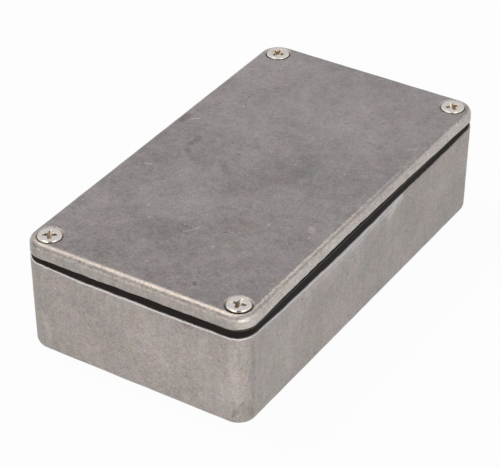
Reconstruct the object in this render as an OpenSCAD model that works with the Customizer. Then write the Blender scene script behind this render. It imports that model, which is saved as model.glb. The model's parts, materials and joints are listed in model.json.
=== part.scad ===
// Sealed die cast aluminium box: a base casting, a lid casting, a rubber gasket
// between them and four countersunk screws that pull the lid down on the gasket.
// X runs along the box, Y across it and Z up. The origin is at the middle of the underside.

/* [Box] */
// Length over the parting edge
box_l = 115; // [90:0.5:180]
// Width over the parting edge
box_w = 64.2; // [58:0.1:120]
// Radius of the upright corners at the parting edge
corner_r = 5.4; // [4.8:0.1:6.4]
// Taper of the walls, in degrees, which lets the castings leave the die
draft = 1; // [0.4:0.1:2]

/* [Base] */
// Height of the face that the gasket lies on
base_h = 26.4; // [20:0.1:45]
// Thickness of the walls at the rim
wall = 2.6; // [2.2:0.1:3]
// Thickness of the floor
floor_t = 2.4; // [1.6:0.1:4]
// Radius round the underside
base_edge_r = 2.2; // [1:0.1:3]
// Radius where the walls meet the floor inside
floor_r = 1.4; // [0.6:0.1:1.8]
// Rounding of the rim's outer edge
rim_r = 0.3; // [0.15:0.05:0.35]

/* [Lid] */
// Height of the lid from its lower edge to its top face
lid_h = 3.7; // [2.8:0.1:6]
// Thickness of the lid's plate
lid_plate = 2.2; // [1.6:0.1:2.6]
// Radius round the top face
lid_edge_r = 1.45; // [0.8:0.05:1.6]
// Rounding of the lid's lower edge
lid_low_r = 0.35; // [0.15:0.05:0.45]
// Height of the locating lip below the lid's lower edge
lip_h = 3.1; // [2.6:0.1:4.5]
// Thickness of the locating lip
lip_t = 1.3; // [0.9:0.1:1.8]
// Gap between the lip and the base
lip_gap = 0.4; // [0.25:0.05:0.6]
// Radius where the lip meets the plate
lip_root_r = 0.4; // [0.2:0.05:0.5]

/* [Gasket] */
// Thickness of the gasket when it is clamped
gasket_t = 1.7; // [1:0.1:2.2]
// How far the gasket's outer face lies inside the walls
gasket_inset = 0.35; // [0.35:0.05:0.8]
// Rounding of the gasket's outer edges
gasket_r = 0.35; // [0.1:0.05:0.45]
// Width of the gasket's hole round each screw
gasket_hole_d = 4.2; // [3.9:0.1:4.8]

/* [Dressed edges] */
// How far the base's outer edge is dressed down midway along the long sides
base_dip_long = 0.75; // [0.2:0.05:0.9]
// How far the base's outer edge is dressed down midway along the short sides
base_dip_short = 0.3; // [0.1:0.05:0.6]
// How far the lid's lower edge is dressed up midway along the long sides
lid_rise_long = 0.9; // [0.2:0.05:1.2]
// How far the lid's lower edge is dressed up midway along the short sides
lid_rise_short = 0.1; // [0.05:0.05:0.6]
// Width of the dressed strip, in from the wall
dress_w = 0.9; // [0.6:0.05:1.2]

/* [Screws] */
// Distance from the outer walls to each screw's axis
screw_in = 5.1; // [4.9:0.05:5.6]
// Width of the flat screw head
head_d = 6.2; // [5.6:0.1:6.8]
// Height of the head's straight edge
head_edge = 0.5; // [0.3:0.05:0.6]
// How far the head stands above the lid
head_proud = 0.3; // [0.05:0.05:0.5]
// Whole length of the screw
screw_l = 14; // [11:0.5:17]
// Width of the screw at the root of its thread
core_d = 2.8; // [2.4:0.05:3]
// Height of the chamfer at the screw's tip
tip_h = 0.35; // [0.2:0.05:0.8]
// Gap between the screw's root and the tapped hole
thread_gap = 0.05; // [0.02:0.01:0.1]
// Width of the lid's hole
lid_hole_d = 3.9; // [3.5:0.1:4.2]
// Gap round the head in its pocket
pocket_gap = 0.4; // [0.2:0.05:0.45]
// Gap between the head's cone and its seat
seat_gap = 0.12; // [0.05:0.01:0.2]
// Width across the cross recess
recess_d = 3.8; // [3:0.1:4.2]
// Width of the recess's wings
wing_w = 0.85; // [0.6:0.05:1]
// Depth of the cross recess
recess_deep = 1.9; // [1.2:0.1:2.1]
// Width across the bottom of the recess
recess_low_d = 1.5; // [1:0.1:2]

/* [Inside] */
// Width of each screw column at the rim
column_w = 7.4; // [6.6:0.1:7.8]
// Rounding of the column's upright edges
column_r = 2.4; // [1.6:0.1:3]
// Depth of each column's tapped hole below the rim
hole_deep = 12; // [10:0.5:15]
// Distance between the board posts along the box
post_l = 80; // [40:1:82]
// Distance between the board posts across the box
post_w = 40; // [20:1:44]
// Width of each board post at its top
post_d = 5.6; // [5:0.1:7]
// Height of each board post above the floor
post_h = 4; // [2:0.5:8]
// Width of the tapped hole in each post
post_hole_d = 2.5; // [2:0.1:3]
// Distance of the outer card guides from the middle of the box
guide_x = 28; // [14:1:34]
// Gap between the two ribs of a card guide
guide_gap = 2; // [1.6:0.1:2.6]
// Thickness of each guide rib
guide_t = 1.2; // [0.8:0.1:1.8]
// How far each guide rib stands out of the wall
guide_out = 1.3; // [0.8:0.1:1.8]
// How far the guides stop below the rim
guide_low = 6; // [5:0.5:10]

/* [Hidden] */
$fn = 64;

// heights of the faces that meet
lid_z = base_h + gasket_t;
top_z = lid_z + lid_h;
head_z = top_z + head_proud;

// the cavity, measured at the rim
cavity_l = box_l - 2 * wall;
cavity_w = box_w - 2 * wall;
cavity_r = corner_r - wall;

// the screws' axes, measured from the middle of the box
screw_x = box_l / 2 - screw_in;
screw_y = box_w / 2 - screw_in;

// how each cross recess is left turned once its screw is tight, in degrees
turn_front_left = 10;
turn_front_right = 48;
turn_rear_left = 32;
turn_rear_right = -7;

// facets of a quarter turn of a fillet, and of half of a shallow dressing curve
arc_steps = 8;
dress_steps = 8;

// how far a cutting shape runs past the face that it cuts
cut = 0.5;

// angle between a drill tip's side and its axis, and between a screw head's cone and its axis
tip_angle = 59;
cone_angle = 45;

// Where a tapered wall stands at height z: it is at reach at height level and
// leans outwards by its taper as it rises.
function wall_at(reach, level, taper, z) = reach + (z - level) * tan(taper);

// An arc of radius r round centre c, from angle a to angle b
function arc(c, r, a, b) =
    [for (i = [0:arc_steps]) let (t = a + (b - a) * i / arc_steps) c + r * [cos(t), sin(t)]];

// The centre of an arc of radius r that touches the wall at about height z
function arc_centre(reach, level, taper, z, r) =
    [wall_at(reach, level, taper, z) - r / cos(taper), z];

// The wall's lower and upper ends, each rounded by an arc or, with r = 0, left square
function square_end(reach, level, taper, z) = [[wall_at(reach, level, taper, z), z]];
function low_end(reach, level, taper, z, r) = r == 0 ? square_end(reach, level, taper, z) :
    arc(arc_centre(reach, level, taper, z + r, r), r, -90, -taper);
function high_end(reach, level, taper, z, r) = r == 0 ? square_end(reach, level, taper, z) :
    arc(arc_centre(reach, level, taper, z - r, r), r, -taper, 90);

// A cast block: a slab from height low to height high with rounded upright corners and
// tapered sides. It measures l by w, with corner radius r, at height level. One section of
// its wall is turned a quarter at each corner and drawn out straight along each side.
module block(l, w, r, level, taper, low, high, r_low = 0, r_high = 0) {
    run_x = l - 2 * r;
    run_y = w - 2 * r;
    module section()
        polygon(concat([[0, low]], low_end(r, level, taper, low, r_low),
            high_end(r, level, taper, high, r_high), [[0, high]]));
    for (i = [0:3])
        translate([(i == 0 || i == 3 ? 1 : -1) * run_x / 2, (i < 2 ? 1 : -1) * run_y / 2, 0])
            rotate(i * 90) rotate_extrude(angle = 90) section();
    for (m = [0, 1]) {
        mirror([0, m, 0]) translate([0, run_y / 2, 0])
            rotate([90, 0, 90]) linear_extrude(run_x, center = true) section();
        mirror([m, 0, 0]) translate([run_x / 2, 0, 0])
            rotate([90, 0, 0]) linear_extrude(run_y, center = true) section();
    }
    translate([-run_x / 2, -run_y / 2, low]) cube([run_x, run_y, high - low]);
}

// The children at each of the four screws
module at_screws()
    for (x = [-screw_x, screw_x], y = [-screw_y, screw_y]) translate([x, y, 0]) children();

// The screw columns from height low to height high, made wider all round by extra. They
// are wider lower down, and the base's walls take in their outer halves.
module columns(low, high, extra, taper = 0)
    at_screws()
        block(column_w + 2 * extra, column_w + 2 * extra, column_r + extra, base_h, -taper,
            low, high);

// What is dressed off the outer edge of a casting: a very shallow arc along each side,
// deepest midway, that is only dress_w wide. up = 1 cuts a rim from above and up = -1 cuts a
// lower edge from below.
module dressing(z, deep_long, deep_short, up) {
    module strip(side, half, deep) {
        r = (half * half + deep * deep) / (2 * deep);
        curve = [for (i = [-dress_steps:dress_steps])
            let (x = half * i / dress_steps) [x, up * (r - deep - sqrt(r * r - x * x))]];
        translate([0, side + cut, z]) rotate([90, 0, 0]) linear_extrude(dress_w + cut)
            polygon(concat(curve, [[half, up * (deep + cut)], [-half, up * (deep + cut)]]));
    }
    for (a = [0, 180]) rotate(a) {
        strip(box_w / 2, box_l / 2 - corner_r - column_w, deep_long);
        rotate(90) strip(box_l / 2, box_w / 2 - corner_r - column_w / 2, deep_short);
    }
}

// The children at each of the four board posts
module at_posts()
    for (x = [-post_l / 2, post_l / 2], y = [-post_w / 2, post_w / 2])
        translate([x, y, floor_t]) children();

// A board post that narrows as it rises from the floor
module post()
    translate([0, 0, -cut])
        cylinder(d1 = post_d + 2 * (post_h + cut) * tan(draft), d2 = post_d, h = post_h + cut);

// Pairs of upright ribs on the long walls that hold a card on its edge. They lean with
// the wall.
module card_guides()
    for (side = [0, 1], x = [-guide_x, 0, guide_x], s = [-1, 1])
        mirror([0, side, 0]) translate([x + s * (guide_gap + guide_t) / 2, cavity_w / 2, base_h])
            rotate([-draft, 0, 0]) translate([-guide_t / 2, -guide_out, -base_h])
                cube([guide_t, guide_out + wall / 2, base_h - guide_low]);

// A hole drilled down from height z, with the drill's cone at its end
module drilled(d, z, deep)
    translate([0, 0, z]) rotate_extrude()
        polygon([[0, -deep - d / 2 / tan(tip_angle)], [d / 2, -deep], [d / 2, cut], [0, cut]]);

// The base is cast in one piece: what is taken out of its block is the cavity, less the
// columns, posts and guides that stand in it.
module base() {
    color("#a5a19c")
    difference() {
        block(box_l, box_w, corner_r, base_h, draft, 0, base_h, base_edge_r, rim_r);
        difference() {
            block(cavity_l, cavity_w, cavity_r, base_h, draft, floor_t, base_h + cut, floor_r);
            columns(floor_t - cut, base_h + 2 * cut, 0, draft / 2);
            at_posts() post();
            card_guides();
        }
        at_screws() drilled(core_d + 2 * thread_gap, base_h, hole_deep);
        at_posts() drilled(post_hole_d, post_h, post_h);
        dressing(base_h, base_dip_long, base_dip_short, 1);
    }
}

// The gasket covers the base's rim and the tops of its columns.
module gasket() {
    color("#28211f")
    difference() {
        block(box_l - 2 * gasket_inset, box_w - 2 * gasket_inset, corner_r - gasket_inset,
            base_h, 0, base_h, lid_z, gasket_r, gasket_r);
        difference() {
            block(cavity_l, cavity_w, cavity_r, base_h, 0, base_h - cut, lid_z + cut);
            columns(base_h - 2 * cut, lid_z + 2 * cut, 0);
        }
        at_screws() translate([0, 0, base_h - cut])
            cylinder(d = gasket_hole_d, h = gasket_t + 2 * cut);
    }
}

// The lid is cast in one piece: a plate with a rounded edge, and below it a lip that
// drops into the base and runs round the inner side of the screw columns.
module lid() {
    lip_low = lid_z - lip_h;
    inner = 2 * (lip_gap + lip_t);
    color("#9a9796")
    difference() {
        union() {
            block(box_l, box_w, corner_r, lid_z, -draft, lid_z, top_z, lid_low_r, lid_edge_r);
            difference() {
                block(cavity_l - 2 * lip_gap, cavity_w - 2 * lip_gap, cavity_r - lip_gap,
                    lid_z, draft, lip_low, lid_z + cut);
                columns(lip_low - cut, lid_z, lip_gap);
            }
        }
        difference() {
            block(cavity_l - inner, cavity_w - inner, cavity_r - lip_gap, lid_z, -draft,
                lip_low - cut, top_z - lid_plate, 0, lip_root_r);
            columns(lip_low - 2 * cut, top_z, lip_gap + lip_t);
        }
        at_screws() screw_seat();
        dressing(lid_z, lid_rise_long, lid_rise_short, -1);
    }
}

// The hole in the lid: a pocket for the head, a cone that it sits on and a clear hole
module screw_seat() {
    pocket_r = head_d / 2 + pocket_gap;
    hole_r = lid_hole_d / 2;
    cone_h = (pocket_r - hole_r) / tan(cone_angle);
    pocket_z = head_z - head_edge + (pocket_gap - seat_gap) / tan(cone_angle);
    translate([0, 0, pocket_z]) cylinder(r = pocket_r, h = lid_h);
    translate([0, 0, pocket_z - cone_h]) cylinder(r1 = hole_r, r2 = pocket_r, h = cone_h);
    translate([0, 0, lid_z - lip_h - cut]) cylinder(r = hole_r, h = lid_h + lip_h);
}

// A countersunk screw with a cross recess. The fine thread is left off its root.
module lid_screw(x, y, turn) {
    cone_h = (head_d - core_d) / 2 / tan(cone_angle);
    shank_h = screw_l - head_edge - cone_h - tip_h;
    color("#cfcbc3")
    translate([x, y, head_z]) difference() {
        union() {
            translate([0, 0, -head_edge]) cylinder(d = head_d, h = head_edge);
            translate([0, 0, -head_edge - cone_h]) cylinder(d1 = core_d, d2 = head_d, h = cone_h);
            translate([0, 0, -head_edge - cone_h - shank_h]) cylinder(d = core_d, h = shank_h);
            translate([0, 0, -screw_l]) cylinder(d1 = core_d - 2 * tip_h, d2 = core_d, h = tip_h);
        }
        rotate(turn) cross_recess();
    }
}

// Four wings that shrink towards the bottom, round a pointed core
module cross_recess() {
    slope = (recess_d - recess_low_d) / 2 / recess_deep;
    intersection() {
        for (a = [0, 90]) rotate(a) translate([-recess_d, -wing_w / 2, -recess_deep])
            cube([2 * recess_d, wing_w, recess_deep + cut]);
        translate([0, 0, -recess_deep])
            cylinder(r1 = recess_low_d / 2, r2 = recess_d / 2 + slope * cut, h = recess_deep + cut);
    }
    translate([0, 0, -recess_deep]) cylinder(r1 = wing_w / 2, r2 = wing_w, h = recess_deep + cut);
}

base();
gasket();
lid();
lid_screw(-screw_x, -screw_y, turn_front_left);  // lid_screw_front_left
lid_screw(screw_x, -screw_y, turn_front_right);  // lid_screw_front_right
lid_screw(-screw_x, screw_y, turn_rear_left);  // lid_screw_rear_left
lid_screw(screw_x, screw_y, turn_rear_right);  // lid_screw_rear_right
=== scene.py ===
import json
import math

import bmesh
import bpy
import numpy as np
from mathutils import Matrix, Vector


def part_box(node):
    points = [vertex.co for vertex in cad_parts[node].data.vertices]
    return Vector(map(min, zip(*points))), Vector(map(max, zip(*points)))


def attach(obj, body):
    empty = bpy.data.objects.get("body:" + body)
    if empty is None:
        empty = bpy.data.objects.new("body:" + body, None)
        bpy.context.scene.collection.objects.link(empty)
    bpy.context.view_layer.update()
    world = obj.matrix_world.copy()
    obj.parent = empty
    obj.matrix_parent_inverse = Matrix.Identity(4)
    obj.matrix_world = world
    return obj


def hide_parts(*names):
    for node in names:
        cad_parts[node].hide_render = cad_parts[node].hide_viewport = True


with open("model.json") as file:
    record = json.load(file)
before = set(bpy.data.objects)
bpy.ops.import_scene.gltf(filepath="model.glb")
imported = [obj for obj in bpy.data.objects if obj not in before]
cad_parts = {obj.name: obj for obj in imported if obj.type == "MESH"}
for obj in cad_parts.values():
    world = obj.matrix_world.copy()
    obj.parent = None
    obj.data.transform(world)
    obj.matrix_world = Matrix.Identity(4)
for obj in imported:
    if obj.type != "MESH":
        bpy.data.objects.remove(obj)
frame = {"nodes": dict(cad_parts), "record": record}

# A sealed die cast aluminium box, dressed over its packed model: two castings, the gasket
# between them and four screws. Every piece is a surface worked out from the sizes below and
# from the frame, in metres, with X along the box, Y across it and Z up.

bl_info = {
    "name": "Die cast box",
    "version": (1, 0, 0),
    "blender": (4, 5, 0),
    "location": "View3D > Sidebar > Die cast box",
    "description": "Dresses the castings, the gasket and the screws of a sealed die cast box",
    "category": "Object",
}

MM = 0.001
MERGE = 2e-6  # points closer than this (metres) become one
ARC_STEPS = 14  # steps round each upright corner and column
SMOOTH_BELOW, SCREW_SMOOTH_BELOW = 32, 38  # edges sharper than this (degrees) stay sharp
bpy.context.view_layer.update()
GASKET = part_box("gasket")
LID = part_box("lid")
POSTS = next(m for m in frame["record"]["mounts"] if m["name"] == "board_posts")
SCREWS = sorted(node for node in frame["nodes"] if node.startswith("lid_screw_"))


def join(rows, axis=0):
    """Rows of points or numbers, one after another."""
    return np.concatenate(rows, axis)


def prop(name, description, values, **more):
    """A number, or a row of numbers where there is more than one value."""
    more.update(name=name, description=description)
    if len(values) == 1:
        return bpy.props.FloatProperty(default=values[0], **more)
    return bpy.props.FloatVectorProperty(default=values, size=len(values), **more)


def length(name, description, *mm):
    return prop(name, description, [value * MM for value in mm], precision=5, unit="LENGTH")


def angle(name, description, *degrees):
    return prop(name, description, [math.radians(value) for value in degrees], unit="ROTATION")


def number(name, description, value):
    return prop(name, description, [value])


def colour(name, description, *rgb):
    return prop(name, description, rgb, min=0, max=1, subtype="COLOR")


class CastingSizes(bpy.types.PropertyGroup):
    """Sizes that the two castings are built from"""

    corner_r: length("Corner radius", "Radius of the upright corners at the parting edge", 5.4)
    draft: angle("Draft", "Taper of every cast wall", 1)
    wall: length("Wall", "Thickness of the base's walls at the rim", 2.6)
    floor_t: length("Floor", "Thickness of the base's floor", 2.4)
    foot_r: length("Foot radius", "Radius round the underside", 2.2)
    floor_r: length("Floor radius", "Radius where the walls meet the floor inside", 1.4)
    rim_r: length("Rim rounding", "Rounding of the rim's outer edge", 0.3)
    plate: length("Lid plate", "Thickness of the lid's plate", 2.2)
    crown_r: length("Crown radius", "Radius round the lid's top face", 1.6)
    skirt_r: length("Skirt rounding", "Rounding of the lid's lower edge", 0.35)
    lip_t: length("Lip", "Thickness of the locating lip", 1.3)
    lip_gap: length("Lip gap", "Gap between the lip and the base", 0.4)
    lip_root_r: length("Lip root", "Radius where the lip meets the plate", 0.4)
    dress_w: length("Dressed strip", "Width of the strip dressed off the parting edges", 0.9)
    base_long: length("Long dip", "Dressing along the base's long edges, corner to corner",
                      0.00, 0.68, 0.98, 1.28, 0.92, 0.30, 0.14, 0.18, -0.20)
    base_short: length("Short dip", "Dressing along the base's short edges",
                       -0.08, 0.52, 0.42, 0.42, 0.20)
    base_corner: length("Corner dip", "Dressing at the base's front right and rear left, then "
                        "at its other two corners", -0.15, 0.0)
    lid_long: length("Long rise", "Dressing along the lid's long edges",
                     0.30, 0.84, 0.96, 1.18, 1.06, 1.00, 0.80, 0.52, 0.22)
    lid_short: length("Short rise", "Dressing along the lid's short edges",
                      -0.16, -0.20, -0.12, -0.14, -0.04)
    lid_corner: length("Corner rise", "Dressing at the lid's corners, in the same order",
                       -0.35, 0.0)
    ragged: length("Ragged edge", "Unevenness of the dressed edges", 0.035)
    lean: length("Lean", "How far the lid's front left corner stands up on its gasket", 0.55)
    column_w: length("Screw column", "Width of each screw column at the rim", 7.4)
    column_r: length("Column rounding", "Rounding of the columns' upright edges", 2.4)
    hole_deep: length("Tapped depth", "Depth of the columns' tapped holes", 12)
    post_d: length("Board post", "Width of each board post at its top", 5.6)
    guide_x: length("Card guide place", "Distance of the outer guides from the middle", 28)
    guide_gap: length("Card guide gap", "Gap between a guide's two ribs", 2)
    guide_t: length("Card guide rib", "Thickness of each guide rib", 1.2)
    guide_out: length("Card guide depth", "How far each rib stands out of the wall", 1.3)
    guide_low: length("Card guide top", "How far the guides stop below the rim", 6)
    mesh_step: length("Mesh step", "Distance between the points of the cast surfaces", 0.66)
    ripple: length("Ripple", "Height of the soft unevenness of the cast skin", 0.012)


class GasketSizes(bpy.types.PropertyGroup):
    """Sizes of the rubber gasket"""

    inset: length("Inset", "How far the gasket lies inside the walls", 0.35)
    edge_r: length("Edge rounding", "Rounding of the outer edges", 0.35)
    hole_d: length("Screw hole", "Width of the hole round each screw", 4.2)
    bulge: length("Bulge", "How far the clamped rubber bulges outwards", 0.05)


class ScrewSizes(bpy.types.PropertyGroup):
    """Sizes of the countersunk screws and of their seats in the lid"""

    head_edge: length("Head edge", "Height of the head's straight edge", 0.5)
    head_round: length("Head rounding", "Rounding at both ends of the head's bevel", 0.1)
    bevel: length("Bevel", "Width of the bevel round the head's face", 0.36)
    bevel_turn: angle("Bevel turn", "How far the bevel looks up from the horizontal", 33)
    core_d: length("Core", "Width of the shank at the root of its thread", 2.8)
    thread_d: length("Thread", "Width over the thread", 3.5)
    pitch: length("Pitch", "Rise of the screws' thread in one turn", 0.6)
    tip_h: length("Tip", "Height of the chamfer at the screw's tip", 0.35)
    post_pitch: length("Post pitch", "Rise of the posts' thread in one turn", 0.5)
    thread_gap: length("Thread gap", "Gap between the screw's root and the hole", 0.05)
    hole_d: length("Clear hole", "Width of the lid's hole", 3.9)
    pocket_gap: length("Pocket gap", "Gap round the head in its pocket", 0.34)
    seat_gap: length("Seat gap", "Gap between the head's cone and its seat", 0.12)
    pocket_round: length("Pocket rounding", "Rounding of the pocket's upper edge", 0.18)
    recess_d: length("Recess", "Width across the cross recess", 3.8)
    recess_low_d: length("Recess foot", "Width across the bottom of the recess", 1.5)
    recess_deep: length("Recess depth", "Depth of the cross recess", 1.9)
    wing_w: length("Wing", "Width of the recess's wings", 0.98)
    loose: length("Loose", "How far each screw stands out, in the order of their names",
                  0.27, 0.0, 0.02, 0.05)
    turns: angle("Turns", "How each recess is turned, in the order of their names",
                 10, 48, 32, -7)


class FinishColours(bpy.types.PropertyGroup):
    """Colours of the finishes"""

    cast_base: colour("Base casting", "Tumbled aluminium of the base", 0.322, 0.2925, 0.278)
    # The lid's top colour is painted shade and its side colour painted light: darker on top, paler
    # on the side
    cast_lid: colour("Lid top", "Tumbled aluminium of the lid's top", 0.251, 0.230, 0.231)
    cast_side: colour("Lid side", "Aluminium of the lid's side", 0.450, 0.414, 0.394)
    cast_dark: colour("Stain", "Dark stain in the cast skin", 0.120, 0.105, 0.100)
    # This colour serves the rubbed wear and, on the lid, the painted highlights on the top's edge
    # and round the screw pockets
    cast_bright: colour("Rubbed metal", "Metal rubbed bright on edges", 0.525, 0.470, 0.428)
    rubber: colour("Rubber", "The gasket's black rubber", 0.010, 0.008, 0.0075)
    # The rim colour is a painted highlight: the rounded rim edge catching the light
    cast_rim: colour("Rubbed rim", "Metal rubbed bright on the base's rim", 0.52, 0.51, 0.52)
    nickel: colour("Nickel", "The screws' plating", 0.560, 0.530, 0.512)
    # The bevel colour is a painted highlight: the same plating made brighter on the heads' bevels
    nickel_edge: colour("Nickel edge", "The clean plating on the heads' bevels", 0.66, 0.64, 0.58)
    # The recess colour is painted shade: the plating made browner and a little darker down in the
    # recesses
    nickel_deep: colour("Recess dirt", "The plating down in the recesses", 0.560, 0.490, 0.410)
    floor: colour("Floor", "The studio's floor", 0.8, 0.8, 0.8)


class Studio(bpy.types.PropertyGroup):
    """The camera and the light"""

    azimuth: angle("Azimuth", "Direction the camera looks from, round the box", -57.822)
    elevation: angle("Elevation", "Height of the camera above the bench", 34.582)
    roll: angle("Roll", "Turn of the camera about its own axis", 0.117)
    distance: length("Distance", "Distance from the camera to its target", 547.5)
    target: length("Target", "Point that the camera looks at", -13.02, -5.22, 21.25)
    lens: number("Lens", "Focal length in millimetres", 157.9)
    ambient: number("Ambient", "Strength of the world's light on matt surfaces", 0.5)


class Plan:
    """The sizes that several pieces share, worked out from the properties and the frame."""

    def __init__(self, scene):
        self.cast = scene.casting_sizes
        self.seal = scene.gasket_sizes
        self.screw = scene.screw_sizes
        self.slope = math.tan(self.cast.draft)
        self.rim_z, self.lid_z = GASKET[0].z, GASKET[1].z
        self.lip_z, self.top_z = LID[0].z, LID[1].z
        self.half_x, self.half_y = GASKET[1].x + self.seal.inset, GASKET[1].y + self.seal.inset
        self.core_x = self.half_x - self.cast.corner_r
        self.core_y = self.half_y - self.cast.corner_r
        self.cavity_x = self.half_x - self.cast.wall
        self.cavity_y = self.half_y - self.cast.wall
        low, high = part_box("lid_screw_rear_right")
        self.screw_x, self.screw_y = (low.x + high.x) / 2, (low.y + high.y) / 2
        self.head_r, self.head_z, self.tip_z = (high.x - low.x) / 2, high.z, low.z
        self.notch_x = self.screw_x - self.cast.column_w / 2
        self.notch_y = self.screw_y - self.cast.column_w / 2
        self.guides = self.guide_edges()
        self.guide_stops = [edge for rib in self.guides for edge in np.repeat(rib, 2)]

    def guide_edges(self):
        """Both edges of each card guide rib on half of a long wall, outermost first."""
        c = self.cast
        middles = [place + side * (c.guide_gap + c.guide_t) / 2
                   for place in (c.guide_x, 0) for side in (1, -1)]
        return [(m + c.guide_t / 2, m - c.guide_t / 2) for m in middles if m > 0]

    def counts(self):
        """How many steps lie between the key points of a quarter outline."""
        def steps(distance):
            return max(1, round(distance / self.cast.mesh_step))

        stops = [self.notch_x, *(edge for rib in self.guides for edge in rib), 0]
        runs = [steps(a - b) for a, b in zip(stops, stops[1:])]
        long_wall = [runs[0]]
        for run_in, run_on in zip(runs[1::2], runs[2::2]):
            long_wall += [1, run_in, 1, run_on]
        return [steps(self.notch_y), steps(self.core_y - self.notch_y), *[1] * ARC_STEPS,
                steps(self.core_x - self.notch_x), *long_wall]


def all_round(plan, keys):
    """A closed outline for each row, from its quarter between the +X axis and the +Y axis:
    equal steps along straight lines between key points, mirrored twice.

    keys is a list of (x, y), where each is a number or has one number for each row.
    """
    counts = plan.counts()
    rows = np.broadcast_arrays(*[np.atleast_1d(value) for key in keys for value in key])
    chain = np.stack(rows, -1).reshape(*rows[0].shape, -1, 2)
    start = np.repeat(np.arange(len(counts)), counts)
    share = join([np.arange(n) / n for n in counts])[:, None]
    steps = chain[..., start, :] * (1 - share) + chain[..., start + 1, :] * share
    part = join([steps, chain[..., -1:, :]], -2)
    mirrored = part[..., ::-1, :] * [-1, 1]
    half = join([steps, mirrored[..., :-1, :]], -2)
    return join([half, -half], -2)


def bend(centre_x, centre_y, radius, start, end):
    """Key points of an arc in the plan view, from angle start to angle end in degrees."""
    turns = np.radians(np.linspace(start, end, ARC_STEPS + 1))
    return [(centre_x + radius * math.cos(t), centre_y + radius * math.sin(t)) for t in turns]


def plain_outline(plan, reach):
    """The outline of the box's outside: it lies at reach round the core rectangle, so its
    upright corners are quarter circles round the core's corners."""
    reach = np.atleast_1d(reach)
    side_x, side_y = plan.core_x + reach, plan.core_y + reach
    corner = bend(plan.core_x, plan.core_y, reach, 0, 90)
    stops = [(stop, side_y) for stop in (plan.notch_x, *plan.guide_stops, 0)]
    return all_round(plan, [(side_x, 0), (side_x, plan.notch_y), *corner, *stops])


def notched_outline(plan, inset, z, rib=0, slope=None, column_slope=0):
    """The outline of the cavity: a rectangle whose corners are notched by the screw columns.

    It lies inset inside the cavity's walls at the rim, and z moves it outwards by slope.
    """
    inset, z, rib = np.broadcast_arrays(*np.atleast_1d(inset, z, rib))
    lean = (z - plan.rim_z) * (plan.slope if slope is None else slope)
    wall_x, wall_y = plan.cavity_x - inset + lean, plan.cavity_y - inset + lean
    grow = inset + (plan.rim_z - z) * column_slope
    notch_x, notch_y = plan.notch_x - grow, plan.notch_y - grow
    radius = plan.cast.column_r + grow
    keys = [(wall_x, 0), (wall_x, notch_y)]
    keys += bend(notch_x + radius, notch_y + radius, radius, 270, 180)
    keys += [(notch_x, wall_y)]
    for high, low in plan.guides:
        keys += [(high, wall_y), (high, wall_y - rib), (low, wall_y - rib), (low, wall_y)]
    return all_round(plan, keys + [(0, wall_y)])


def inner_rectangle(plan, inset):
    """A rectangle between the notches. The stretches of a notch all run to its corners."""
    side_x, side_y = plan.notch_x - inset, plan.notch_y - inset
    shrink = side_x / plan.notch_x
    stops = [(stop * shrink, side_y) for stop in (*plan.guide_stops, 0)]
    return all_round(plan, [(side_x, 0), *[(side_x, side_y)] * (ARC_STEPS + 3), *stops])


def arc(centre_r, centre_z, radius, start, end, steps):
    """Points (reach, z) of an arc in the section of a wall, angles in radians."""
    turns = np.linspace(start, end, steps + 1)
    return np.stack([centre_r + radius * np.cos(turns), centre_z + radius * np.sin(turns)], -1)


def line(start, end, step):
    """Points (reach, z) of a straight stretch of a section, without its two ends."""
    start, end = np.asarray(start, float), np.asarray(end, float)
    count = max(1, round(float(np.linalg.norm(end - start)) / step))
    share = np.arange(1, count)[:, None] / count
    return start * (1 - share) + end * share


def lift(outline, z):
    """Puts each row of an outline at its height."""
    heights = np.broadcast_to(np.reshape(z, (-1, 1, 1)), (*outline.shape[:2], 1))
    return join([outline, heights], -1)


def ruled(first, last, rows):
    """Rows between two rows of points, on straight lines from one to the other."""
    share = (np.arange(1, rows) / rows)[:, None, None]
    return first[None] * (1 - share) + last[None] * share


def grid_quads(rows, columns, closed):
    """Faces between the points of a grid, row after row, as indices of its points."""
    across = np.arange(columns if closed else columns - 1)
    row, column = np.meshgrid(np.arange(rows - 1), across, indexing="ij")
    after = (column + 1) % columns
    corners = [row * columns + column, row * columns + after,
               (row + 1) * columns + after, (row + 1) * columns + column]
    return np.stack(corners, -1).reshape(-1, 4)


def middle_patch(rectangle):
    """A flat net inside a rectangular row of points, with lines between its opposite points."""
    x = np.unique(rectangle[:, 0].round(9))
    y = np.unique(rectangle[:, 1].round(9))
    net = np.stack([*np.meshgrid(x, y), np.full((len(y), len(x)), rectangle[0, 2])], -1)
    return net.reshape(-1, 3), grid_quads(len(y), len(x), False)


def tube_patch(rows):
    """The points and faces of rows of points, each of which is a closed loop."""
    return rows.reshape(-1, 3), grid_quads(rows.shape[0], rows.shape[1], True)


def placed(name, data):
    """Puts a new object into the scene."""
    made = bpy.data.objects.new(name, data)
    bpy.context.scene.collection.objects.link(made)
    return made


def solid(name, patches, smooth_below=SMOOTH_BELOW):
    """One closed mesh from patches whose edge points coincide. Faces end up pointing out."""
    start = np.cumsum([0] + [len(points) for points, _ in patches])
    points = join([points for points, _ in patches])
    faces = join([quads + at for (_, quads), at in zip(patches, start)])
    mesh = bpy.data.meshes.new(name)
    mesh.from_pydata(points, [], faces.tolist())
    shape = bmesh.new()
    shape.from_mesh(mesh)
    bmesh.ops.remove_doubles(shape, verts=shape.verts, dist=MERGE)
    bmesh.ops.dissolve_degenerate(shape, edges=shape.edges, dist=MERGE)
    bmesh.ops.recalc_face_normals(shape, faces=shape.faces)
    shape.to_mesh(mesh)
    shape.free()
    piece = placed(name, mesh)
    shade(piece, smooth_below)
    return piece


def shade(piece, smooth_below):
    """Smooth shading, apart from edges sharper than smooth_below degrees."""
    piece.data.shade_smooth()
    piece.data.set_sharp_from_angle(angle=math.radians(smooth_below))


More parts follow.
